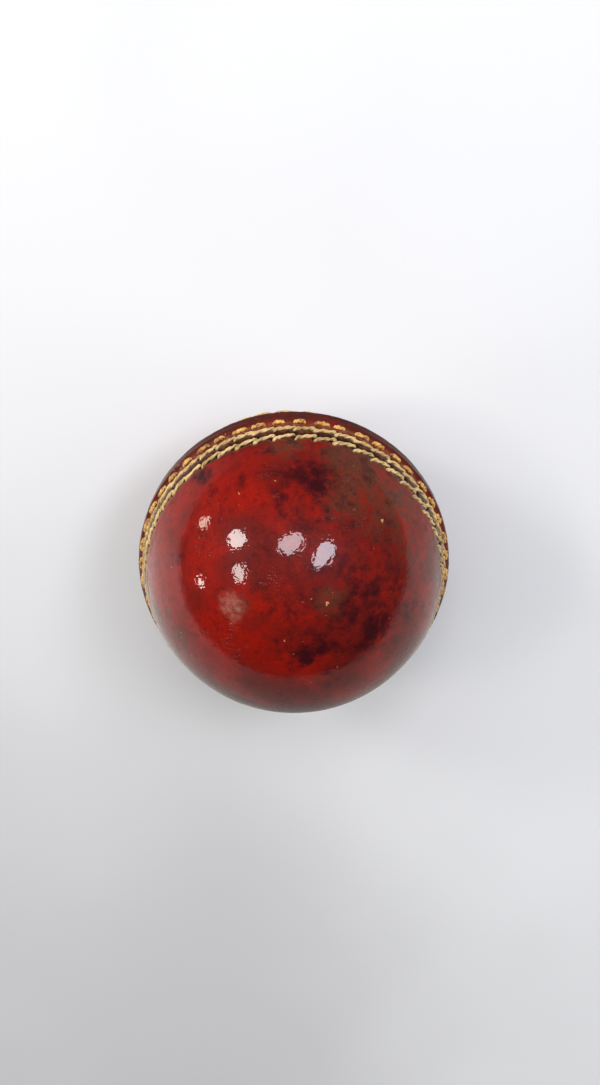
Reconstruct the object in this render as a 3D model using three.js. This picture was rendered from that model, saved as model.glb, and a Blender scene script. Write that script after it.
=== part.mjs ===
// A hand-stitched cricket ball with a two-piece leather cover, taken apart into its real pieces.
// Millimetres, +Z up. The origin is the ball's centre and +Z is the axis of the seam,
// so the two leather cups meet in the plane z = 0 and the ball stands on the lower cup's pole.

import * as THREE from 'three';

// Driving dimensions
const LEATHER_RADIUS = 35.7;
const LEATHER_THICKNESS = 3.6;
const RIDGE_HEIGHT = 1.2;
const GAP = 0.3;

const CORE_LAYERS = 5;
const YARN_THICKNESS = 1.8;
const CORK_THICKNESS = 1.4;
const EYE_RADIUS = 1.5;

const STITCHES_PER_ROW = 48;
const THREAD_RADIUS = 0.5;
const THREAD_RISE = 0.55;
const INNER_THREAD_RADIUS = 0.45;
const INNER_THREAD_RISE = 0.75;

// Each row of stitches on the upper cup: its angle above the join, the half width that its
// stitches lean across, and the depth that they dip to between one stitch and the next.
const ROWS = [
  { name: 'inner', latitude: 5.0, lean: 0, dip: 0.35, radius: INNER_THREAD_RADIUS, rise: INNER_THREAD_RISE },
  { name: 'middle', latitude: 9.0, lean: 0.45, dip: 0, radius: THREAD_RADIUS, rise: THREAD_RISE },
  { name: 'outer', latitude: 14.7, lean: 0.6, dip: 0, radius: THREAD_RADIUS, rise: THREAD_RISE },
];

// How far the leather between the grooves stands above the plain sphere, from pole to join
const LAND_HEIGHTS = { outer: [0, 0.15], middle: [0.15, 0.3], inner: [0.45, 1.05] };
const GROOVE_TAPER = 0.08;
const PLAIN_LEATHER_END = 20;
const RIDGE_SHOULDER = { latitude: 3, drop: 0.03 };

// Fineness of the round shapes
const COVER_SEGMENTS = 48;
const COVER_ARC_STEPS = 5;
const CORE_SEGMENTS = 16;
const CORE_ARC_STEPS = 4;
const THREAD_SIDES = 5;

// Radii that follow from them
const LEATHER_INNER_RADIUS = LEATHER_RADIUS - LEATHER_THICKNESS;
const LAYER_PITCH = YARN_THICKNESS + CORK_THICKNESS + 2 * GAP;
const CORE_RADIUS = LEATHER_INNER_RADIUS - GAP;
const NUCLEUS_RADIUS = CORE_RADIUS - CORE_LAYERS * LAYER_PITCH;
const JOIN_HALF_GAP = GAP / 2;

const LEATHER = { color: 0x8e1a17, roughness: 0.22, metalness: 0 };
const THREAD = { color: 0xd9bd83, roughness: 0.6, metalness: 0 };
const INNER_THREAD = { color: 0xcf9a45, roughness: 0.45, metalness: 0 };
const YARN = { color: 0xe4dac2, roughness: 0.95, metalness: 0 };
const CORK = { color: 0xb98a5a, roughness: 0.9, metalness: 0 };
const NUCLEUS = { color: 0x5a4636, roughness: 0.85, metalness: 0 };

// A point of a lathe profile, from its distance to the centre and its angle above the join.
function profilePoint(distance, latitude) {
  const angle = THREE.MathUtils.degToRad(latitude);
  return new THREE.Vector2(distance * Math.cos(angle), distance * Math.sin(angle));
}

// Points of an arc about the centre, both ends included. An end at the pole lies on the axis.
function arc(distance, from, to, steps) {
  const points = [];
  for (let step = 0; step <= steps; step += 1) {
    const latitude = THREE.MathUtils.lerp(from, to, step / steps);
    const point = profilePoint(distance, latitude);
    point.x = Math.abs(latitude) === 90 ? 0 : point.x;
    points.push(point);
  }
  return points;
}

// Turns a profile about the Z axis. The profile runs from the top down.
function turned(profile, segments) {
  const geometry = new THREE.LatheGeometry(profile.toReversed(), segments);
  return geometry.rotateX(Math.PI / 2);
}

function piece(name, geometry, finish) {
  const mesh = new THREE.Mesh(geometry, new THREE.MeshStandardMaterial(finish));
  mesh.name = name;
  return mesh;
}

// The lower half is the upper one turned over about the X axis.
function pair(name, geometry, finish) {
  const upper = piece(`${name}_upper`, geometry, finish);
  const lower = piece(`${name}_lower`, geometry, finish);
  lower.rotation.x = Math.PI;
  return [upper, lower];
}

// The height of a cup's rim above the join plane, as an angle at a given distance.
function rimLatitude(distance) {
  return THREE.MathUtils.radToDeg(Math.asin(JOIN_HALF_GAP / distance));
}

// Nucleus: a solid ball of ground cork and rubber.
function nucleus() {
  const profile = arc(NUCLEUS_RADIUS, 90, -90, 2 * CORE_ARC_STEPS);
  return piece('nucleus', turned(profile, CORE_SEGMENTS), NUCLEUS);
}

// Cork layer: two thin cups that meet round the middle of the core.
function corkCups(layer, outerRadius) {
  const innerRadius = outerRadius - CORK_THICKNESS;
  const outside = arc(outerRadius, 90, 0, CORE_ARC_STEPS);
  const inside = arc(innerRadius, 0, 90, CORE_ARC_STEPS);
  outside[CORE_ARC_STEPS] = profilePoint(outerRadius, rimLatitude(outerRadius));
  inside[0] = profilePoint(innerRadius, rimLatitude(innerRadius));
  return pair(`cork_cup_${layer}`, turned([...outside, ...inside], CORE_SEGMENTS), CORK);
}

// Yarn winding: a shell wound over the cork, with a small eye at each pole.
function yarnWinding(layer, outerRadius) {
  const innerRadius = outerRadius - YARN_THICKNESS;
  const outside = arc(outerRadius, 90, -90, 2 * CORE_ARC_STEPS);
  const inside = arc(innerRadius, -90, 90, 2 * CORE_ARC_STEPS);
  for (const end of [outside[0], outside.at(-1), inside[0], inside.at(-1)]) {
    end.x = EYE_RADIUS;
  }
  const profile = [...outside, ...inside, outside[0].clone()];
  return piece(`yarn_winding_${layer}`, turned(profile, CORE_SEGMENTS), YARN);
}

// A row's thread runs in a groove that clears it all round by the usual gap.
function threadCentre(row) {
  return LEATHER_RADIUS + row.rise - row.radius;
}

function groove(row) {
  const centre = threadCentre(row);
  const floor = centre - row.dip - row.radius - GAP;
  const halfWidth = THREE.MathUtils.radToDeg((row.lean + row.radius + GAP) / centre);
  const lip = halfWidth + THREE.MathUtils.radToDeg(GROOVE_TAPER / centre);
  const [poleSide, joinSide] = LAND_HEIGHTS[row.name];
  return [
    profilePoint(LEATHER_RADIUS + poleSide, row.latitude + lip),
    profilePoint(floor, row.latitude + halfWidth),
    profilePoint(floor, row.latitude - halfWidth),
    profilePoint(LEATHER_RADIUS + joinSide, row.latitude - lip),
  ];
}

// Leather cup: plain round the pole, grooved for its three rows, and raised to a ridge at the join.
function leatherCups() {
  const crest = LEATHER_RADIUS + RIDGE_HEIGHT;
  const profile = [
    ...arc(LEATHER_RADIUS, 90, PLAIN_LEATHER_END, COVER_ARC_STEPS),
    ...ROWS.toReversed().flatMap(groove),
    profilePoint(crest - RIDGE_SHOULDER.drop, RIDGE_SHOULDER.latitude),
    profilePoint(crest, rimLatitude(crest)),
    profilePoint(LEATHER_INNER_RADIUS, rimLatitude(LEATHER_INNER_RADIUS)),
    ...arc(LEATHER_INNER_RADIUS, 0, 90, CORE_ARC_STEPS).slice(1),
  ];
  return pair('leather_cup', turned(profile, COVER_SEGMENTS), LEATHER);
}

// The line of a row's thread. A leaning stitch starts on the pole side, crosses to the join side
// and starts again beside the next one. A dipping stitch lies flat and dives between stitches.
class StitchLine extends THREE.Curve {
  constructor(row) {
    super();
    this.row = row;
    this.knots = row.dip > 0
      ? [{ at: 0, lean: 0, dip: 0 }, { at: 0.7, lean: 0, dip: 0 }, { at: 0.85, lean: 0, dip: 1 }]
      : [{ at: 0, lean: 1, dip: 0 }, { at: 0.78, lean: -1, dip: 0 }];
    this.steps = STITCHES_PER_ROW * this.knots.length - 1;
  }

  // Steps fall on the knots, not at even distances.
  getUtoTmapping(u) {
    return u;
  }

  knotPoint(index) {
    const { row, knots } = this;
    const knot = knots[index % knots.length];
    const stitch = Math.floor(index / knots.length);
    const turn = 2 * Math.PI * (stitch + knot.at) / STITCHES_PER_ROW;
    const distance = threadCentre(row) - knot.dip * row.dip;
    const latitude = THREE.MathUtils.degToRad(row.latitude) + knot.lean * row.lean / distance;
    const reach = distance * Math.cos(latitude);
    return new THREE.Vector3(reach * Math.cos(turn), -reach * Math.sin(turn), distance * Math.sin(latitude));
  }

  getPoint(t) {
    const place = t * this.steps;
    const index = Math.min(Math.floor(place), this.steps - 1);
    return this.knotPoint(index).lerp(this.knotPoint(index + 1), place - index);
  }
}

// Stitch row: one waxed thread right round the cup, whose two ends stop short of each other.
function stitchRow(row) {
  const section = new THREE.Shape();
  section.absarc(0, 0, row.radius, 0, 2 * Math.PI);
  const line = new StitchLine(row);
  const sides = new THREE.Shape(section.getSpacedPoints(THREAD_SIDES).slice(1));
  const geometry = new THREE.ExtrudeGeometry(sides, {
    extrudePath: line,
    steps: line.steps,
    bevelEnabled: false,
  });
  return pair(`stitch_row_${row.name}`, geometry, row.dip > 0 ? INNER_THREAD : THREAD);
}

const ball = new THREE.Group();
ball.add(nucleus());
for (let layer = 1; layer <= CORE_LAYERS; layer += 1) {
  const yarnRadius = NUCLEUS_RADIUS + layer * LAYER_PITCH;
  ball.add(...corkCups(layer, yarnRadius - YARN_THICKNESS - GAP));
  ball.add(yarnWinding(layer, yarnRadius));
}
ball.add(...leatherCups());
for (const row of ROWS) {
  ball.add(...stitchRow(row));
}

export default ball;
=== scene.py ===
import math
import random

import bmesh
import bpy
from mathutils import Matrix, Vector, noise


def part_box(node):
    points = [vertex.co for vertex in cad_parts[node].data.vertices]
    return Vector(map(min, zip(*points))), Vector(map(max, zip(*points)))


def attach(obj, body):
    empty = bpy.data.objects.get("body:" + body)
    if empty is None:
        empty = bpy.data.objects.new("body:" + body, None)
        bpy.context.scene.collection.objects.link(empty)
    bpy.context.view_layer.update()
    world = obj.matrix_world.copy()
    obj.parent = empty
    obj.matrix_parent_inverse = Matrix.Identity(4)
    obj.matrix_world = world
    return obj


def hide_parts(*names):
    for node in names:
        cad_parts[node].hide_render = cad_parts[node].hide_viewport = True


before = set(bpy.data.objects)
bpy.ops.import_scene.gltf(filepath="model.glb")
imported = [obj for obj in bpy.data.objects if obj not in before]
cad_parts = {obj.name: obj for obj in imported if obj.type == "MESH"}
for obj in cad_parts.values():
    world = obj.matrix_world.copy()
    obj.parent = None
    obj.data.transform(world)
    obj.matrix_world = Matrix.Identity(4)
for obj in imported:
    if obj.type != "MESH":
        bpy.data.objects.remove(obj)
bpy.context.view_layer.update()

# ---------------------------------------------------------------------------
# Sizes, in metres. The main ones come from the frame.
# ---------------------------------------------------------------------------

MM = 0.001
CUP_LOW, CUP_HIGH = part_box("leather_cup_upper")
BALL_RADIUS = CUP_HIGH.z
RIDGE_RADIUS = CUP_HIGH.x
CORE_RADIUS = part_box("yarn_winding_5")[1].x
CUP_INNER_RADIUS = CORE_RADIUS + 2 * CUP_LOW.z
JOIN_HALF_GAP = 0.03 * MM

STITCHES = 48
PITCH = 2 * math.pi / STITCHES
SEAM_REACH = 13.5 * MM
RIDGE_HEIGHT = RIDGE_RADIUS - BALL_RADIUS
RIDGE_SHOULDER = 1.9 * MM
RIDGE_FOOT = 3.5 * MM
LEAN_SWAY = 0.5

# Stitches that were pulled askew, the side where the rows are worn down, and the sprung stretch
PULLED_SIDE = math.radians(-22)
PULLED_WIDTH = math.radians(24)
WORN_DOWN = 0.24 * MM
SPRUNG_SIDE = math.radians(98)
SPRUNG_WIDTH = math.radians(19)
SPRUNG_UP = 0.55 * MM
SPRUNG_LONGER = 0.45


def row_height(name):
    """How far a row of stitches lies from the join, along the leather."""
    low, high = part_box(name)
    return BALL_RADIUS * math.asin((low.z + high.z) / 2 / BALL_RADIUS)


# Each row of stitches. Along the leather: how far it lies from the join, how far it drifts from side to
# side of the ball, how much nearer the join it comes at both sides, how far a stitch leans across the
# row, the hook at a stitch's start, and how much further the pulled stitches hook. Then the height of
# the thread's middle above the plain leather, the length of a stitch in pitches and how far that varies,
# the thread's radius, how flat it lies and how much it tapers, how far its ends go down, how deep the
# leather gives under it and at its holes, and the turns of its plies.
THICK_THREAD = dict(
    length=1.17, vary=0.05, radius=0.47 * MM, flat=0.9, taper=0,
    dive=0.75 * MM, bed=0.66 * MM, pit=0.55 * MM, turns=1.3,
)
ROWS = {
    "inner": dict(
        away=row_height("stitch_row_inner_upper"), drift=0, nearer=-0.4 * MM, lean=0.14 * MM,
        hook=0, pull=0, middle=0.48 * MM, length=0.64, vary=0.12, radius=0.58 * MM, flat=0.5,
        taper=0.5, dive=0.35 * MM, bed=0.05 * MM, pit=0.12 * MM, turns=1.1,
    ),
    "middle": dict(
        THICK_THREAD, away=row_height("stitch_row_middle_upper"), drift=0.15 * MM, nearer=0.75 * MM,
        lean=0.32 * MM, hook=0.45 * MM, pull=1.0 * MM, middle=-0.06 * MM,
    ),
    "outer": dict(
        THICK_THREAD, away=row_height("stitch_row_outer_upper"), drift=0.2 * MM, nearer=0.25 * MM,
        lean=0.6 * MM, hook=0.4 * MM, pull=0.2 * MM, middle=-0.12 * MM,
    ),
}


def ease(low, high, value):
    """0 below low, 1 above high, and smooth in between."""
    share = min(1.0, max(0.0, (value - low) / (high - low)))
    return share * share * (3 - 2 * share)


def bell(distance, width):
    """1 at no distance, falling smoothly to nearly 0 at twice the width."""
    return math.exp(-(distance / width) ** 2)


def turned_from(turn, start):
    """The turn from one place on the seam to another, never more than half way round."""
    return (turn - start + math.pi) % (2 * math.pi) - math.pi


def on_ball(turn, away, height):
    """A point on the upper half: turned clockwise from +X, away from the join, above the leather."""
    latitude = away / BALL_RADIUS
    distance = BALL_RADIUS + height
    flat = distance * math.cos(latitude)
    return Vector((flat * math.cos(turn), -flat * math.sin(turn), distance * math.sin(latitude)))


# ---------------------------------------------------------------------------
# Stitches
# ---------------------------------------------------------------------------

PLIES = 2
PLY_OFFSET = 0.42
PLY_RADIUS = 0.62
PLY_WOBBLE = 0.3
THREAD_WOBBLE = 0.16 * MM
STITCH_STEPS = 26
HOOK_SHARE = 0.13
CROWN = 0.05 * MM
KNOB = 0.12


def sewn(row, seed):
    """The stitches of one row, each a little different, as a hand sews them."""
    chance = random.Random(seed)
    stitches = []
    for number in range(STITCHES):
        turn = number * PITCH
        from_pulled = turned_from(turn, PULLED_SIDE)
        lean = row["lean"] * (1 + LEAN_SWAY * math.cos(from_pulled))
        hook = row["hook"] + row["pull"] * bell(from_pulled, PULLED_WIDTH)
        sideways = math.cos(turn)
        away = row["away"] + row["drift"] * sideways - row["nearer"] * sideways ** 2
        worn = WORN_DOWN * ease(-0.05, 0.35, math.sin(turn))
        stitches.append(dict(
            start=turn + chance.uniform(-0.06, 0.06) * PITCH,
            reach=(row["length"] + chance.uniform(-1, 0.8) * row["vary"]) * PITCH,
            near=away + lean * chance.uniform(0.75, 1.25),
            far=away - lean * chance.uniform(0.75, 1.25),
            hook=hook * chance.uniform(0.5, 1.3),
            rise=chance.uniform(-0.07, 0.08) * MM - worn,
            thick=chance.uniform(0.9, 1.1),
            twist=chance.uniform(0, 2 * math.pi),
            turns=row["turns"] * chance.uniform(0.6, 1.4),
            own=Vector((chance.uniform(0, 90), chance.uniform(0, 90), seed)),
        ))
    return stitches


def spring_up(stitches):
    """Lift the stitches near one side, where the thread has worked loose and stands up."""
    for stitch in stitches:
        sprung = bell(turned_from(stitch["start"], SPRUNG_SIDE), SPRUNG_WIDTH)
        stitch["rise"] += SPRUNG_UP * sprung
        stitch["reach"] *= 1 + SPRUNG_LONGER * sprung


def across_row(stitch, share):
    """How far from the join the thread lies: hooked at its start, then leaning steadily."""
    hooked = stitch["hook"] * bell(share, HOOK_SHARE)
    return stitch["near"] + (stitch["far"] - stitch["near"]) * share + hooked


def stitch_line(row, stitch, share):
    """The middle of the thread, from its hole (0) to the next one (1)."""
    lift = ease(0, 0.06, share) * (1 - ease(0.88, 1, share))
    crown = CROWN * math.sin(math.pi * share)
    height = row["middle"] + stitch["rise"] - row["dive"] * (1 - lift) + crown
    away = across_row(stitch, share)
    away += THREAD_WOBBLE * noise.noise(stitch["own"] + Vector((share * 5, 0, 0)))
    height += 0.5 * THREAD_WOBBLE * noise.noise(stitch["own"] + Vector((share * 6, 7, 0)))
    return on_ball(stitch["start"] + stitch["reach"] * share, away, height)


def ply_points(row, stitch, ply):
    """One ply's centre line, wound round the middle of the thread, with its thickness at each point."""
    points = []
    offset = row["radius"] * PLY_OFFSET * stitch["thick"]
    for step in range(STITCH_STEPS + 1):
        share = step / STITCH_STEPS
        middle = stitch_line(row, stitch, share)
        ahead = stitch_line(row, stitch, min(1, share + 0.01))
        behind = stitch_line(row, stitch, max(0, share - 0.01))
        along = (ahead - behind).normalized()
        side = along.cross(middle.normalized()).normalized()
        up = side.cross(along)
        angle = stitch["twist"] + 2 * math.pi * (ply / PLIES + stitch["turns"] * share)
        fray = 1 + PLY_WOBBLE * noise.noise(stitch["own"] + Vector((share * 9, ply * 3, 5)))
        full = 1 - row["taper"] * abs(2 * share - 1) ** 3
        around = math.cos(angle) * side + row["flat"] * math.sin(angle) * up
        place = middle + full * offset * fray * around
        knob = 1 + KNOB * bell(share - 0.06, 0.08)
        points.append((place, stitch["thick"] * fray * full * knob))
    return points


def strand_object(name, curve, material):
    """A curve made into an object of one material."""
    curve.materials.append(material)
    strand = bpy.data.objects.new(name, curve)
    bpy.context.scene.collection.objects.link(strand)
    return strand


def thread_row(name, half, row, stitches, material):
    """A row of stitches: each stitch is a short piece of twisted thread between two holes."""
    curve = bpy.data.curves.new(name, "CURVE")
    curve.dimensions = "3D"
    curve.bevel_depth = row["radius"] * PLY_RADIUS
    curve.bevel_resolution = 1
    curve.use_fill_caps = True
    for stitch in stitches:
        for ply in range(PLIES):
            points = ply_points(row, stitch, ply)
            spline = curve.splines.new("POLY")
            spline.points.add(len(points) - 1)
            for point, (place, thickness) in zip(spline.points, points):
                point.co = (*(half @ place), 1)
                point.radius = thickness
    thread = strand_object(name, curve, material)
    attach(thread, "root")
    return thread


# ---------------------------------------------------------------------------
# Leather cups
# ---------------------------------------------------------------------------

STEPS_PER_PITCH = 14
SEAM_STEPS = 72
DOME_STEPS = 30
INNER_STEPS = 16
RIM_CUTS = 4
CENTRE = (0, 0, 0)
SEAM_AXIS = (0, 0, 1)
TO_POLE = (0, -1, 0)
FROM_POLE = (0, 1, 0)
SWELL = 0.14 * MM
SHOULDER = 0.1 * MM
MARKS_REACH = 3.6 * MM
BED_WIDTH = 0.68 * MM
HOLE_WIDTH = 0.5 * MM


def smooth_object(name, bm, material):
    """A finished bmesh made into a smooth object of one material."""
    for face in bm.faces:
        face.smooth = True
    mesh = bpy.data.meshes.new(name)
    bm.to_mesh(mesh)
    bm.free()
    mesh.materials.append(material)
    piece = bpy.data.objects.new(name, mesh)
    bpy.context.scene.collection.objects.link(piece)
    return piece


def seam_shape(away):
    """Height of the leather by its distance from the join: ridge, swell, then a shoulder and the dome."""
    ridge = RIDGE_HEIGHT * (1 - ease(RIDGE_SHOULDER, RIDGE_FOOT, away))
    lip = -JOIN_HALF_GAP * (1 - ease(JOIN_HALF_GAP, 10 * JOIN_HALF_GAP, away))
    swell = SWELL * ease(2 * MM, 4 * MM, away) * (1 - ease(6 * MM, 9 * MM, away))
    shoulder = SHOULDER * bell(away - 11.2 * MM, 1.1 * MM)
    return ridge + lip + swell + shoulder


def thread_marks(turn, away, sewing):
    """What the stitches do to the leather: a bed under each, and a pit where it goes in."""
    depth = 0
    for name, stitches in sewing.items():
        row = ROWS[name]
        if abs(away - row["away"]) > MARKS_REACH:
            continue
        number = math.floor(turn / PITCH)
        for index in (number - 1, number, number + 1):
            stitch = stitches[index % STITCHES]
            share = turned_from(turn, stitch["start"]) / stitch["reach"]
            if not -0.3 < share < 1.3:
                continue
            inside = ease(-0.12, 0.06, share) * (1 - ease(0.94, 1.12, share))
            across = away - across_row(stitch, max(0, share))
            depth = max(depth, row["bed"] * inside * bell(across, BED_WIDTH))
            length = stitch["reach"] * BALL_RADIUS
            for hole in (0, 1):
                gap = math.hypot((share - hole) * length, away - across_row(stitch, hole))
                depth = max(depth, row["pit"] * bell(gap, HOLE_WIDTH))
    return depth


def leather_height(turn, away, sewing, seed):
    """How far the leather stands off the plain ball: its shape, its marks and its unevenness."""
    height = seam_shape(away)
    place = on_ball(turn, away, 0) / MM + seed
    if away < SEAM_REACH:
        height -= thread_marks(turn, away, sewing)
        height += 0.05 * MM * noise.noise(place * 0.55) * ease(0, 2 * MM, away)
        height += 0.025 * MM * noise.noise(place * 1.3)
    height += 0.045 * MM * noise.noise(place * 0.16)
    height += 0.012 * MM * noise.noise(place * 0.45)
    return height


def leather_cup(name, half, sewing, seed, material):
    """Half of the cover: one arc outside, one inside, turned about the seam's axis."""
    bm = bmesh.new()
    start = math.asin(JOIN_HALF_GAP / BALL_RADIUS)
    seam_end = SEAM_REACH / BALL_RADIUS
    rim = bm.verts.new((BALL_RADIUS * math.cos(start), 0, JOIN_HALF_GAP))
    inner_start = math.asin(JOIN_HALF_GAP / CUP_INNER_RADIUS)
    inner_rim = bm.verts.new((CUP_INNER_RADIUS * math.cos(inner_start), 0, JOIN_HALF_GAP))
    seam = bmesh.ops.spin(bm, geom=[rim], cent=CENTRE, axis=TO_POLE,
                          angle=seam_end - start, steps=SEAM_STEPS)
    seam_top = [v for v in seam["geom_last"] if isinstance(v, bmesh.types.BMVert)]
    bmesh.ops.spin(bm, geom=seam_top, cent=CENTRE, axis=TO_POLE,
                   angle=math.pi / 2 - seam_end, steps=DOME_STEPS)
    bmesh.ops.spin(bm, geom=[inner_rim], cent=CENTRE, axis=TO_POLE,
                   angle=math.pi / 2 - inner_start, steps=INNER_STEPS)
    edge = bm.edges.new((rim, inner_rim))
    bmesh.ops.subdivide_edges(bm, edges=[edge], cuts=RIM_CUTS)
    bmesh.ops.spin(bm, geom=bm.verts[:] + bm.edges[:], cent=CENTRE, axis=SEAM_AXIS,
                   angle=PITCH, steps=STEPS_PER_PITCH)
    bmesh.ops.spin(bm, geom=bm.verts[:] + bm.edges[:] + bm.faces[:], cent=CENTRE, axis=SEAM_AXIS,
                   angle=2 * math.pi - PITCH, steps=STITCHES - 1, use_duplicate=True)
    bmesh.ops.remove_doubles(bm, verts=bm.verts, dist=0.0005 * MM)
    bmesh.ops.recalc_face_normals(bm, faces=bm.faces)
    for vert in bm.verts:
        if vert.co.length > BALL_RADIUS - 0.01 * MM:
            turn = -math.atan2(vert.co.y, vert.co.x) % (2 * math.pi)
            away = BALL_RADIUS * math.asin(min(1, vert.co.z / BALL_RADIUS))
            vert.co *= 1 + leather_height(turn, away, sewing, seed) / BALL_RADIUS
    bmesh.ops.rotate(bm, verts=bm.verts, cent=CENTRE, matrix=half)
    cup = smooth_object(name, bm, material)
    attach(cup, "root")
    return cup


# ---------------------------------------------------------------------------
# Core
# ---------------------------------------------------------------------------

CORE_LAYERS = 5
YARN_THICKNESS = 1.8 * MM
CORK_THICKNESS = 1.4 * MM
STRAND_RADIUS = 0.5 * MM
CORE_RING_STEPS = 112
CORE_ARC_STEPS = 28
STRAND_LOOPS = 120
STEPS_PER_LOOP = 40
TILT_PER_LOOP = 0.73
DRIFT_PER_LOOP = 0.31
CORK_RIM = 0.15 * MM
CORK_GRAIN = 0.07 * MM
YARN_GRAIN = 0.12 * MM
NUCLEUS_GRAIN = 0.16 * MM
NO_RIM = -1


def core_shell(name, inner, outer, rim, grain, seed, material, half=Matrix.Identity(3)):
    """A round layer of the core: a whole ball or hollow ball, or a cup that ends at its rim's height."""
    bm = bmesh.new()
    arcs = []
    for radius in (outer, inner):
        if radius == 0:
            continue
        end = math.asin(rim / radius) if rim > 0 else -math.pi / 2
        start = bm.verts.new((0, 0, radius))
        bmesh.ops.spin(bm, geom=[start], cent=CENTRE, axis=FROM_POLE,
                       angle=math.pi / 2 - end, steps=CORE_ARC_STEPS * (1 if rim > 0 else 2))
        arcs.append(bm.verts[:][-1])
    if rim > 0:
        bm.edges.new(arcs)
    bmesh.ops.spin(bm, geom=bm.verts[:] + bm.edges[:], cent=CENTRE, axis=SEAM_AXIS,
                   angle=2 * math.pi, steps=CORE_RING_STEPS, use_merge=True)
    bmesh.ops.remove_doubles(bm, verts=bm.verts, dist=0.002 * MM)
    bmesh.ops.recalc_face_normals(bm, faces=bm.faces)
    for vert in bm.verts:
        place = vert.co / MM
        rough = noise.noise(place * 0.9 + Vector((seed, 0, 0))) + 0.6 * noise.noise(place * 2.1)
        vert.co *= 1 - grain * abs(rough) / vert.co.length
    bmesh.ops.rotate(bm, verts=bm.verts, cent=CENTRE, matrix=half)
    shell = smooth_object(name, bm, material)
    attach(shell, "root")
    return shell


def wound_strand(name, radius, seed, material):
    """One long strand wound round and round, each loop turned a little from the last."""
    curve = bpy.data.curves.new(name, "CURVE")
    curve.dimensions = "3D"
    curve.bevel_depth = STRAND_RADIUS
    curve.bevel_resolution = 0
    spline = curve.splines.new("POLY")
    count = round(STRAND_LOOPS * radius / CORE_RADIUS) * STEPS_PER_LOOP
    spline.points.add(count)
    for step, point in enumerate(spline.points):
        loop = step / STEPS_PER_LOOP
        tilt = Matrix.Rotation(loop * TILT_PER_LOOP + seed, 3, "X")
        drift = Matrix.Rotation(loop * DRIFT_PER_LOOP, 3, "Z")
        sway = STRAND_RADIUS * 0.35 * noise.noise(Vector((loop * 3, seed, 0)))
        around = Vector((math.cos(2 * math.pi * loop), math.sin(2 * math.pi * loop), 0))
        away = radius + sway - 0.3 * STRAND_RADIUS
        point.co = (*(drift @ tilt @ around * away), 1)
    strand = strand_object(name, curve, material)
    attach(strand, "root")
    return strand


# ---------------------------------------------------------------------------
# Material helpers
# ---------------------------------------------------------------------------

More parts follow.
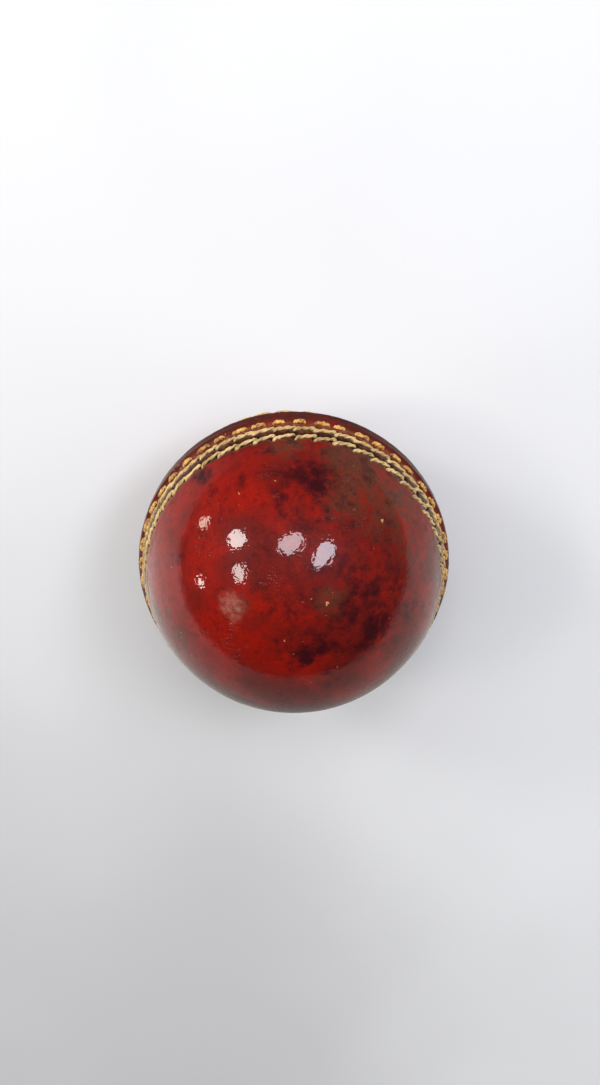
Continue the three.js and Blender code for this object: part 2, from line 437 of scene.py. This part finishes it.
class Recipe:
    """A material's nodes, made by short calls. Each call gives back the socket or node it makes."""

    def __init__(self, name):
        self.material = bpy.data.materials.new(name)
        self.material.use_nodes = True
        self.tree = self.material.node_tree
        self.shader = self.tree.nodes["Principled BSDF"]
        self.place = self.tree.nodes.new("ShaderNodeTexCoord").outputs["Object"]

    def link(self, value, socket):
        if isinstance(value, bpy.types.NodeSocket):
            self.tree.links.new(value, socket)
        else:
            socket.default_value = value

    def math(self, operation, a, b=0.0):
        node = self.tree.nodes.new("ShaderNodeMath")
        node.operation = operation
        self.link(a, node.inputs[0])
        self.link(b, node.inputs[1])
        return node.outputs[0]

    def vector(self, operation, a, b=(0, 0, 0), scale=1.0):
        node = self.tree.nodes.new("ShaderNodeVectorMath")
        node.operation = operation
        self.link(a, node.inputs[0])
        if operation == "SCALE":
            node.inputs["Scale"].default_value = scale
        elif operation != "LENGTH":
            self.link(b, node.inputs[1])
        return node.outputs["Value" if operation in ("LENGTH", "DISTANCE") else "Vector"]

    def noise(self, scale, detail=3.0, roughness=0.5, shift=(0, 0, 0), stretch=(1, 1, 1), distortion=0.0):
        mapping = self.tree.nodes.new("ShaderNodeMapping")
        self.link(self.place, mapping.inputs["Vector"])
        mapping.inputs["Location"].default_value = shift
        mapping.inputs["Scale"].default_value = stretch
        node = self.tree.nodes.new("ShaderNodeTexNoise")
        self.link(mapping.outputs[0], node.inputs["Vector"])
        node.inputs["Scale"].default_value = scale
        node.inputs["Detail"].default_value = detail
        node.inputs["Roughness"].default_value = roughness
        node.inputs["Distortion"].default_value = distortion
        return node.outputs["Fac"]

    def wander(self, scale, reach, shift=(0, 0, 0)):
        """The piece's own coordinates, pushed about by up to half of reach, for ragged outlines."""
        mapping = self.tree.nodes.new("ShaderNodeMapping")
        self.link(self.place, mapping.inputs["Vector"])
        mapping.inputs["Location"].default_value = shift
        node = self.tree.nodes.new("ShaderNodeTexNoise")
        self.link(mapping.outputs[0], node.inputs["Vector"])
        node.inputs["Scale"].default_value = scale
        push = self.vector("SUBTRACT", node.outputs["Color"], (0.5, 0.5, 0.5))
        return self.vector("ADD", self.place, self.vector("SCALE", push, scale=reach))

    def axis(self, index):
        node = self.tree.nodes.new("ShaderNodeSeparateXYZ")
        self.link(self.place, node.inputs[0])
        return node.outputs[index]

    def red_of(self, colour):
        node = self.tree.nodes.new("ShaderNodeSeparateColor")
        self.link(colour, node.inputs[0])
        return node.outputs[0]

    def cells(self, scale, feature="F1", shift=(0, 0, 0), where=None):
        mapping = self.tree.nodes.new("ShaderNodeMapping")
        self.link(where or self.place, mapping.inputs["Vector"])
        mapping.inputs["Location"].default_value = shift
        node = self.tree.nodes.new("ShaderNodeTexVoronoi")
        node.feature = feature
        self.link(mapping.outputs[0], node.inputs["Vector"])
        node.inputs["Scale"].default_value = scale
        return node

    def span(self, value, low, high, to_low=0.0, to_high=1.0, smooth=True):
        node = self.tree.nodes.new("ShaderNodeMapRange")
        node.interpolation_type = "SMOOTHSTEP" if smooth else "LINEAR"
        self.link(value, node.inputs["Value"])
        node.inputs["From Min"].default_value = low
        node.inputs["From Max"].default_value = high
        node.inputs["To Min"].default_value = to_low
        node.inputs["To Max"].default_value = to_high
        return node.outputs["Result"]

    def mix(self, share, a, b):
        node = self.tree.nodes.new("ShaderNodeMix")
        node.data_type = "RGBA"
        self.link(share, node.inputs[0])
        self.link(a if isinstance(a, bpy.types.NodeSocket) else (*a, 1), node.inputs[6])
        self.link(b if isinstance(b, bpy.types.NodeSocket) else (*b, 1), node.inputs[7])
        return node.outputs[2]

    def bump(self, height, depth, normal=None, strength=1.0):
        node = self.tree.nodes.new("ShaderNodeBump")
        node.inputs["Strength"].default_value = strength
        node.inputs["Distance"].default_value = depth
        self.link(height, node.inputs["Height"])
        if normal is not None:
            self.link(normal, node.inputs["Normal"])
        return node.outputs["Normal"]

    def finish(self, **values):
        for name, value in values.items():
            self.link(value, self.shader.inputs[name.replace("_", " ")])
        return self.material


# ---------------------------------------------------------------------------
# Materials
# ---------------------------------------------------------------------------

RED = (0.255, 0.0065, 0.002)
DEEP_RED = (0.13, 0.0065, 0.004)
MAROON = (0.034, 0.003, 0.005)
BROWN = (0.108, 0.03, 0.016)
SCUFF_AND_SHEEN = (0.32, 0.15, 0.11)
CHIP = (0.60, 0.30, 0.13)
# Dirt and painted shade beside and between the stitch rows; also the colour of the nicks.
SEAM_DIRT_AND_SHADE = (0.026, 0.008, 0.004)
RIDGE_RED = (0.06, 0.016, 0.010)
WAXED = (0.27, 0.10, 0.045)


def on_leather(longitude, latitude):
    """A place on the leather, by degrees round the seam and above the join."""
    return on_ball(-math.radians(longitude), BALL_RADIUS * math.radians(latitude), 0)


# Patches of the dye on each cup, by colour: longitude, latitude, radius in mm, strength
UPPER_PATCHES = {
    RED: [
        (122, 32, 10, 0.9), (166, 24, 12, 1), (176, 40, 9, 0.7), (-172, 62, 9, 0.8), (-98, 81, 6, 0.9),
        (-140, 72, 6, 0.7), (110, 26, 7, 0.7), (-150, 50, 8, 0.6), (150, 50, 8, 0.6),
    ],
    DEEP_RED: [
        (0, 48, 14, 0.9), (28, 50, 11, 1), (42, 44, 9, 0.9), (70, 70, 14, 1), (16, 63, 11, 0.9),
        (-40, 62, 10, 0.6), (90, 30, 8, 0.7), (-89, 85, 7, 0.8), (55, 45, 10, 0.9),
    ],
    BROWN: [
        (66, 23, 9, 1), (45, 28, 8, 1), (35, 33, 8, 0.6), (92, 21, 6, 0.7), (35, 74, 5, 0.7),
        (26, 38, 7, 0.5), (72, 33, 7, 0.6), (50, 40, 10, 0.45), (30, 46, 7, 0.35), (67, 38, 8, 0.9),
        (56, 31, 8, 0.8), (52, 42, 7, 0.6), (-160, 42, 4, 0.5), (163, 72, 5, 0.4),
    ],
    MAROON: [
        (-68, 79, 4.2, 0.9), (-38, 77, 4.2, 0.8), (-8, 60, 5, 0.85), (14, 68, 5.5, 0.7),
        (80, 36, 7, 0.85), (76, 45, 6, 0.5), (98, 44, 5, 0.4), (128, 22, 3.5, 0.8), (40, 64, 5, 0.5),
        (160, 36, 4, 0.4), (22, 50, 5, 0.5), (60, 48, 6, 0.35), (-60, 62, 5, 0.4), (0, 42, 5, 0.4),
        (16, 61, 7, 0.5), (6, 73, 6, 0.5), (31, 49, 8, 0.3), (66, 40, 6, 0.4), (18, 36, 6, 0.3),
        (-18, 62, 5, 0.6), (62, 66, 7, 0.3),
    ],
}
LOWER_PATCHES = {
    RED: [(60, 50, 10, 1), (-150, 60, 9, 0.9), (-40, 35, 9, 0.8)],
    BROWN: [(-60, 28, 8, 0.9), (75, 30, 7, 0.8), (150, 55, 6, 0.6)],
    MAROON: [
        (20, 70, 5, 1), (140, 40, 6, 0.9), (-110, 55, 5, 1), (-160, 25, 5, 0.7), (100, 22, 4, 0.8),
        (-20, 50, 5, 0.7), (0, 25, 5, 0.7),
    ],
}
# Chips and nicks: longitude, latitude, radius in mm
UPPER_CHIPS = [
    (45.6, 39.8, 0.5), (37, 75.6, 0.5), (60, 78, 0.28), (115, 38, 0.25), (42, 72, 0.25),
    (20, 78, 0.22), (70, 80, 0.2), (-60, 84, 0.22), (-75, 74, 0.2),
]
LOWER_CHIPS = [(-30, 40, 0.5), (100, 60, 0.4), (170, 35, 0.35)]
UPPER_NICKS = [
    (149, 25, 0.45), (150.5, 23.5, 0.4), (147, 26.5, 0.35), (-43, 47, 0.45), (-41, 46, 0.35),
    (20, 22, 0.4),
]
LOWER_NICKS = [(10, 45, 0.45), (12, 47, 0.4), (-120, 30, 0.4)]
# Scuff marks, pale, with a painted soft sheen: longitude, latitude, radius in mm, strength
UPPER_SCUFFS_AND_SHEEN = [(163, 67, 3.6, 1.0), (172, 69, 2.4, 0.6), (-152, 38, 2.2, 0.3)]
LOWER_SCUFFS = [(40, 60, 3.0, 0.6), (-80, 40, 2.4, 0.5)]
WEAR = {
    "upper": dict(shift=(0, 0, 0), patches=UPPER_PATCHES, chips=UPPER_CHIPS, nicks=UPPER_NICKS,
                  scuffs_and_sheen=UPPER_SCUFFS_AND_SHEEN),
    "lower": dict(shift=(0.3, 0.1, 0.7), patches=LOWER_PATCHES, chips=LOWER_CHIPS, nicks=LOWER_NICKS,
                  scuffs_and_sheen=LOWER_SCUFFS),
}


def near_places(make, where, places, half, reach=1.0):
    """1 at the middle of each listed place and 0 past its radius, times its strength."""
    field = 0.0
    for longitude, latitude, size, strength in places:
        gap = make.vector("DISTANCE", where, half @ on_leather(longitude, latitude))
        field = make.math("MAXIMUM", field, make.span(gap, size * reach * MM, 0, 0, strength))
    return field


def dye(make, shift, patches, half):
    """The mottled red: broad patches, smoky blotches and a fine dark speckle."""
    wide = make.noise(70, 3, 0.55, shift)
    smoke = make.noise(230, 8, 0.66, shift)
    cloud = make.noise(520, 6, 0.7, shift)
    speckle = make.noise(1900, 4, 0.7, shift)
    colour = make.mix(make.span(wide, 0.4, 0.6), RED, DEEP_RED)
    moved = make.wander(150, 5 * MM, shift)
    ragged = make.span(smoke, 0.32, 0.68, -0.45, 0.45, smooth=False)
    ragged = make.math("ADD", ragged, make.span(cloud, 0.32, 0.68, -0.25, 0.25, smooth=False))
    for tint, places in patches.items():
        field = near_places(make, moved, places, half, 1.6)
        share = make.span(make.math("ADD", field, ragged), 0.0, 1.0)
        share = make.math("MULTIPLY", share, make.span(field, 0.0, 0.6))
        colour = make.mix(share, colour, tint)
    colour = make.mix(make.span(smoke, 0.5, 0.72, 0, 0.7), colour, MAROON)
    colour = make.mix(make.span(cloud, 0.5, 0.72, 0, 0.55), colour, MAROON)
    colour = make.mix(make.span(cloud, 0.46, 0.3, 0, 0.35), colour, RED)
    return make.mix(make.span(speckle, 0.5, 0.74, 0, 0.5), colour, MAROON)


def band(make, height, start, full, fading, end):
    """1 between two heights in mm above the join, and fading to 0 below and above them."""
    below = make.span(height, end * MM, fading * MM)
    return make.math("MULTIPLY", below, make.span(height, start * MM, full * MM))


def seam_wear_and_shade(make, colour, smudge):
    """Dark leather on the ridge, wax between the rows, dirt with painted shade between the rows and low
    down beside the threads, and a painted shadow beside the rows on the -X side.
    """
    depth = make.vector("LENGTH", make.place)
    height = make.math("ABSOLUTE", make.axis(2))
    ridge = make.span(height, 4.2 * MM, 2.4 * MM, 0, 0.85)
    ridge = make.math("MULTIPLY", ridge, make.span(smudge, 0.4, 0.6, 0.5, 1))
    colour = make.mix(ridge, colour, RIDGE_RED)
    waxed = band(make, height, 2.6, 3.4, 8.2, 8.9)
    waxed = make.math("MULTIPLY", waxed, make.span(smudge, 0.42, 0.6, 0.15, 0.75))
    colour = make.mix(waxed, colour, WAXED)
    # Painted shade with dirt: leather lying low beside the threads is darkened, and on the -X side a
    # painted shadow darkens the band along the rows.
    beside = band(make, height, 3.6, 4.4, 10.4, 11.2)
    low = make.span(depth, BALL_RADIUS + 0.15 * MM, BALL_RADIUS - 0.1 * MM)
    left = make.span(make.axis(0), -27 * MM, -33 * MM, 0, 0.85)
    left = make.math("MULTIPLY", left, make.span(height, 11 * MM, 10.2 * MM))
    beside = make.math("MULTIPLY", beside, make.math("MAXIMUM", low, left))
    colour = make.mix(beside, colour, SEAM_DIRT_AND_SHADE)
    # Dirt with painted shade: the band 5 to 8.8 mm above the join, between the rows, is darkened.
    between = band(make, height, 5.0, 5.8, 8.0, 8.8)
    between = make.math("MULTIPLY", between, make.span(smudge, 0.4, 0.6, 0.9, 0.45))
    return make.mix(between, colour, SEAM_DIRT_AND_SHADE)


def marked(make, shift, marks, half):
    """1 on each small ragged mark listed, and 0 elsewhere."""
    places = [(*mark, 1.0) for mark in marks]
    where = make.wander(2600, 1.6 * MM, shift)
    return make.span(near_places(make, where, places, half, 1.4), 0.35, 0.5)


def chipped_places(make, shift, chips, half):
    """Small chips through the lacquer: a few larger ones, and tiny ones scattered about."""
    where = make.wander(1500, 0.7 * MM, shift)
    specks = make.cells(520, shift=shift, where=where)
    few = make.span(make.red_of(specks.outputs["Color"]), 0.87, 0.88)
    crowd = make.span(make.noise(70, 2, 0.5, shift), 0.4, 0.6, 0.25, 1)
    tiny = make.math("MULTIPLY", few, make.span(specks.outputs["Distance"], 0.11, 0.05))
    tiny = make.math("MULTIPLY", tiny, crowd)
    return make.math("MAXIMUM", marked(make, shift, chips, half), tiny)


def scratch_lines(make, shift):
    """Fine scratches, here and there and mostly one way."""
    drift = make.noise(150, 2, 0.5, shift, (1, 7, 2.2), 0.3)
    line = make.span(make.math("ABSOLUTE", make.math("SUBTRACT", drift, 0.5)), 0.007, 0.0)
    return make.math("MULTIPLY", line, make.span(make.noise(110, 2, 0.5, shift), 0.58, 0.64))


def leather(name, shift, patches, chips, nicks, scuffs_and_sheen, half):
    """Dyed leather under polished lacquer, dark where it was handled, with dirt and painted shade by the
    stitches, pale scuff marks with a painted sheen, and chipped here and there.
    """
    make = Recipe(name)
    fine = make.noise(850, 5, 0.7, shift)
    colour = seam_wear_and_shade(make, dye(make, shift, patches, half), fine)
    # Pale scuff marks: worn lacquer, with a painted soft sheen.
    scuff_and_sheen = near_places(make, make.wander(700, 2.5 * MM, shift), scuffs_and_sheen, half, 1.3)
    scuff_and_sheen = make.math("MULTIPLY", make.span(scuff_and_sheen, 0, 1), make.span(fine, 0.35, 0.65, 0.2, 0.8))
    colour = make.mix(scuff_and_sheen, colour, SCUFF_AND_SHEEN)
    chipped = chipped_places(make, shift, chips, half)
    colour = make.mix(make.math("MULTIPLY", chipped, 0.85), colour, CHIP)
    nicked = marked(make, shift, nicks, half)
    colour = make.mix(make.math("MULTIPLY", nicked, 0.8), colour, SEAM_DIRT_AND_SHADE)
    scratch = scratch_lines(make, shift)
    colour = make.mix(make.math("MULTIPLY", scratch, 0.3), colour, SCUFF_AND_SHEEN)
    broken = make.math("MAXIMUM", make.math("MAXIMUM", scratch, chipped), nicked)
    pores = make.cells(1300, "DISTANCE_TO_EDGE", shift).outputs["Distance"]
    grain = make.bump(fine, 0.05 * MM, strength=0.4)
    grain = make.bump(make.span(pores, 0.0, 0.25), 0.02 * MM, grain, 0.4)
    grain = make.bump(broken, -0.03 * MM, grain, 0.8)
    polish = make.bump(make.noise(1100, 1.5, 0.5, shift), 0.05 * MM, strength=0.65)
    polish = make.bump(make.noise(300, 2, 0.5, shift), 0.05 * MM, polish, 0.3)
    polish = make.bump(broken, -0.03 * MM, polish, 0.6)
    return make.finish(
        Base_Color=colour, Roughness=make.span(fine, 0.3, 0.75, 0.3, 0.5), Normal=grain,
        Specular_IOR_Level=0.08, Coat_Weight=0.9, Coat_Roughness=0.035, Coat_IOR=1.5, Coat_Normal=polish,
    )


def thread(name, light, dark, stain_and_shade, lacquer):
    """Waxed linen: pale on the crowns of the plies, dark between them, and darker by stain and painted
    shade where it lies low.
    """
    make = Recipe(name)
    depth = make.vector("LENGTH", make.place)
    patch = make.noise(260, 3, 0.6)
    fibre = make.noise(3800, 3, 0.7)
    colour = make.mix(make.span(patch, 0.35, 0.7), light, dark)
    colour = make.mix(make.span(fibre, 0.5, 0.8, 0, 0.5), colour, dark)
    # Stain with painted shade: the thread is darkened where it lies low and goes down into the leather.
    sunk = make.span(depth, BALL_RADIUS + 0.02 * MM, BALL_RADIUS - 0.5 * MM)
    colour = make.mix(make.math("MULTIPLY", sunk, 0.9), colour, stain_and_shade)
    smear = make.math("MULTIPLY", make.span(make.noise(800, 3, 0.65, (3, 1, 2)), 0.48, 0.62), lacquer)
    colour = make.mix(smear, colour, stain_and_shade)
    normal = make.bump(fibre, 0.06 * MM, strength=0.7)
    return make.finish(
        Base_Color=colour, Roughness=make.span(fibre, 0.3, 0.8, 0.45, 0.7), Normal=normal,
        Sheen_Weight=0.1, Sheen_Roughness=0.5, Specular_IOR_Level=0.35,
    )


def plain_grain(name, light, dark, scale, rough):
    """A dull grainy stuff of two colours with dark flecks."""
    make = Recipe(name)
    grain = make.noise(scale, 5, 0.65)
    flecks = make.cells(scale * 1.6).outputs["Distance"]
    colour = make.mix(make.span(grain, 0.35, 0.68), light, dark)
    colour = make.mix(make.span(flecks, 0.16, 0.05, 0, 0.6), colour, dark)
    normal = make.bump(grain, 0.15 * MM, strength=0.7)
    dull = make.span(grain, 0.3, 0.7, rough - 0.08, rough)
    return make.finish(Base_Color=colour, Roughness=dull, Normal=normal)


# ---------------------------------------------------------------------------
# The pieces
# ---------------------------------------------------------------------------

UPPER = Matrix.Identity(3)
LOWER = Matrix.Rotation(math.pi, 3, "X")

thread_tan = thread(
    "waxed linen thread", (0.74, 0.51, 0.225), (0.42, 0.26, 0.085), (0.11, 0.042, 0.016), 0.3)
thread_gold = thread(
    "lacquered linen thread", (0.76, 0.46, 0.12), (0.46, 0.22, 0.05), (0.17, 0.035, 0.016), 0.75)
cork = plain_grain("cut cork", (0.50, 0.30, 0.15), (0.20, 0.10, 0.045), 700, 0.9)
yarn = plain_grain("worsted yarn", (0.72, 0.64, 0.48), (0.55, 0.46, 0.31), 1200, 0.95)
rubber_cork = plain_grain("cork in rubber", (0.20, 0.12, 0.07), (0.05, 0.035, 0.025), 900, 0.8)

for half_name, half, seed in (("upper", UPPER, 11), ("lower", LOWER, 47)):
    sewing = {name: sewn(row, seed + index) for index, (name, row) in enumerate(ROWS.items())}
    if half_name == "lower":
        spring_up(sewing["inner"])
    hide = leather(f"red leather {half_name}", half=half, **WEAR[half_name])
    cup = leather_cup(f"leather_cover_{half_name}", half, sewing, Vector((seed, 0, 0)), hide)
    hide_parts(f"leather_cup_{half_name}")
    for name, row in ROWS.items():
        finish = thread_gold if name == "inner" else thread_tan
        sewn_row = thread_row(f"{name}_stitches_{half_name}", half, row, sewing[name], finish)
        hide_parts(f"stitch_row_{name}_{half_name}")

for layer in range(1, CORE_LAYERS + 1):
    winding = f"yarn_winding_{layer}"
    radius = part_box(winding)[1].x
    under = core_shell(f"yarn_layer_{layer}", radius - YARN_THICKNESS, radius - 2 * STRAND_RADIUS,
                       NO_RIM, YARN_GRAIN, layer, yarn)
    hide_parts(winding)
    wound_strand(f"wound_strand_{layer}", radius - STRAND_RADIUS, layer, yarn)
    for half_name, half in (("upper", UPPER), ("lower", LOWER)):
        cup_name = f"cork_cup_{layer}_{half_name}"
        cup_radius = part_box(cup_name)[1].x
        cup = core_shell(f"pressed_cork_{layer}_{half_name}", cup_radius - CORK_THICKNESS, cup_radius,
                         CORK_RIM, CORK_GRAIN, layer, cork, half)
        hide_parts(cup_name)
middle = core_shell("cork_rubber_nucleus", 0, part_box("nucleus")[1].x,
                    NO_RIM, NUCLEUS_GRAIN, 9, rubber_cork)
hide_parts("nucleus")

# ---------------------------------------------------------------------------
# Stage: floor, lights, surroundings and camera
# ---------------------------------------------------------------------------

TILT = math.radians(23)
DISTANCE = 8.5 * BALL_RADIUS
LENS = 42.1
SENSOR_WIDTH = 36
SHIFT_X = 0.0057
SHIFT_Y = 0.0187
FLOOR_SIZE = 3.0
FLOOR_PAINTED_SHADE = (0.57, 0.575, 0.58)
FLOOR_PALE = (0.775, 0.785, 0.79)
ROOM_GLOW = 0.025
CLOTH_COLOUR = (1, 0.955, 0.9, 1)
LAMP_DISTANCE = 0.8
BEHIND = [(-1, 1), (-0.15, 1), (-0.02, 0), (1, 0)]
AROUND = [(-1, 0.27), (-0.9, 0.35), (-0.7, 0.48), (-0.5, 0.6), (-0.25, 0.82), (0, 0.9), (0.25, 0.55),
          (0.6, 0.3), (0.95, 0.03)]
SIDEWAYS = [(-1, 1.15), (1, 0.8)]


def pale_floor():
    """The floor that the ball lies on, a little uneven, with painted shade: darker towards -Y and lighter
    towards +X on the -Y side.
    """
    bm = bmesh.new()
    bmesh.ops.create_grid(bm, x_segments=1, y_segments=1, size=FLOOR_SIZE / 2)
    bmesh.ops.translate(bm, verts=bm.verts, vec=(0, 0, -BALL_RADIUS))
    mesh = bpy.data.meshes.new("floor")
    bm.to_mesh(mesh)
    bm.free()
    make = Recipe("pale floor")
    # Painted shade: the floor's colour darkens towards -Y, and painted light brightens it towards +X on
    # the -Y side.
    shade = make.math("ADD", make.span(make.axis(1), -0.14, 0.05, smooth=False), make.noise(9, 2))
    painted_light_corner = make.span(make.axis(1), 0.05, -0.1, 0, 0.9)
    painted_light_corner = make.math("MULTIPLY", make.span(make.axis(0), -0.05, 0.1), painted_light_corner)
    shade = make.math("ADD", shade, painted_light_corner)
    colour = make.mix(make.span(shade, 0.4, 1.5), FLOOR_PAINTED_SHADE, FLOOR_PALE)
    make.finish(Base_Color=colour, Roughness=0.9)
    mesh.materials.append(make.material)
    floor = bpy.data.objects.new("floor", mesh)
    bpy.context.scene.collection.objects.link(floor)
    floor.visible_glossy = False


def soft_light(name, direction, distance, size, power, colour=(1, 1, 1), mirrored=True, turn=0.0):
    """A round or oval lamp that looks at the ball."""
    lamp = bpy.data.lights.new(name, "AREA")
    lamp.shape = "ELLIPSE"
    lamp.size, lamp.size_y = size
    lamp.energy = power
    lamp.color = colour
    holder = bpy.data.objects.new(name, lamp)
    holder.location = Vector(direction).normalized() * distance
    facing = Vector(direction).to_track_quat("Z", "Y").to_matrix().to_4x4()
    holder.matrix_world = Matrix.Translation(holder.location) @ facing @ Matrix.Rotation(turn, 4, "Z")
    holder.visible_glossy = mirrored
    bpy.context.scene.collection.objects.link(holder)


def surroundings():
    """A dim room on the camera's side, and pale cloth all round the far side of the ball."""
    world = bpy.data.worlds.new("room")
    bpy.context.scene.world = world
    world.use_nodes = True
    nodes, links = world.node_tree.nodes, world.node_tree.links
    where = nodes.new("ShaderNodeTexCoord")
    turned = nodes.new("ShaderNodeMapping")
    turned.inputs["Rotation"].default_value = (TILT, 0, 0)
    split = nodes.new("ShaderNodeSeparateXYZ")
    links.new(where.outputs["Generated"], turned.inputs["Vector"])
    links.new(turned.outputs[0], split.inputs[0])

    def ramp(source, stops, blend):
        span = nodes.new("ShaderNodeMapRange")
        span.inputs["From Min"].default_value = -1
        links.new(source, span.inputs["Value"])
        node = nodes.new("ShaderNodeValToRGB")
        links.new(span.outputs[0], node.inputs[0])
        node.color_ramp.interpolation = blend
        elements = node.color_ramp.elements
        while len(elements) < len(stops):
            elements.new(0.5)
        for element, (at, value) in zip(elements, stops):
            element.position = (at + 1) / 2
            element.color = (value, value, value, 1)
        return node.outputs[0]

    flat = nodes.new("ShaderNodeVectorMath")
    flat.operation = "MULTIPLY"
    links.new(turned.outputs[0], flat.inputs[0])
    flat.inputs[1].default_value = (1, 1, 0)
    outward = nodes.new("ShaderNodeVectorMath")
    outward.operation = "NORMALIZE"
    links.new(flat.outputs[0], outward.inputs[0])
    compass = nodes.new("ShaderNodeSeparateXYZ")
    links.new(outward.outputs[0], compass.inputs[0])
    behind = ramp(split.outputs[2], BEHIND, "EASE")
    around = ramp(compass.outputs[1], AROUND, "LINEAR")
    sideways = ramp(compass.outputs[0], SIDEWAYS, "LINEAR")
    both = nodes.new("ShaderNodeMath")
    both.operation = "MULTIPLY"
    links.new(behind, both.inputs[0])
    links.new(around, both.inputs[1])
    total = nodes.new("ShaderNodeMath")
    total.operation = "MULTIPLY_ADD"
    links.new(both.outputs[0], total.inputs[0])
    links.new(sideways, total.inputs[1])
    total.inputs[2].default_value = ROOM_GLOW
    background = nodes["Background"]
    links.new(total.outputs[0], background.inputs["Strength"])
    background.inputs["Color"].default_value = CLOTH_COLOUR


def camera():
    """The camera looks at the upper cup, from above the ball and a little to the seam's far side."""
    data = bpy.data.cameras.new("camera")
    data.sensor_width = SENSOR_WIDTH
    data.lens = LENS
    data.shift_x = SHIFT_X
    data.shift_y = SHIFT_Y
    data.clip_start = 0.01
    viewer = bpy.data.objects.new("camera", data)
    viewer.location = (0, DISTANCE * math.sin(TILT), DISTANCE * math.cos(TILT))
    viewer.rotation_euler = (-TILT, 0, 0)
    bpy.context.scene.collection.objects.link(viewer)
    bpy.context.scene.camera = viewer


pale_floor()
surroundings()
camera()
soft_light("overhead softbox", (-0.1, 0.6, 0.78), 1.2, (2.0, 2.0), 12.3, mirrored=False)
soft_light("left fill", (-0.95, 0.25, 0.45), 1.2, (1.4, 1.4), 3.9, mirrored=False)
soft_light("right fill", (0.95, 0.1, 0.55), 1.1, (1.4, 1.4), 4.4, mirrored=False)
soft_light("round lamp", (-0.656, 0.522, 0.545), LAMP_DISTANCE, (0.17, 0.17), 1.2, (1, 0.98, 0.95))
soft_light("long lamp", (-0.039, 0.599, 0.80), LAMP_DISTANCE, (0.25, 0.17), 1.1,
           (0.95, 0.93, 1), turn=0.5)
soft_light("window", (0.374, 0.457, 0.806), LAMP_DISTANCE, (0.19, 0.31), 1.9, (0.85, 0.88, 1), turn=-0.05)
soft_light("lamp at the left", (-0.887, 0.458, 0.07), LAMP_DISTANCE, (0.10, 0.10), 0.3, (1, 0.8, 0.65))
soft_light("lamp low at the left", (-0.931, -0.067, 0.335), LAMP_DISTANCE, (0.08, 0.08), 0.27,
           (1, 0.9, 0.8))
soft_light("lamp in the middle", (-0.626, 0.20, 0.748), LAMP_DISTANCE, (0.16, 0.11), 0.65,
           (1, 0.9, 0.85), turn=0.5)
bpy.context.scene.view_settings.view_transform = "Standard"
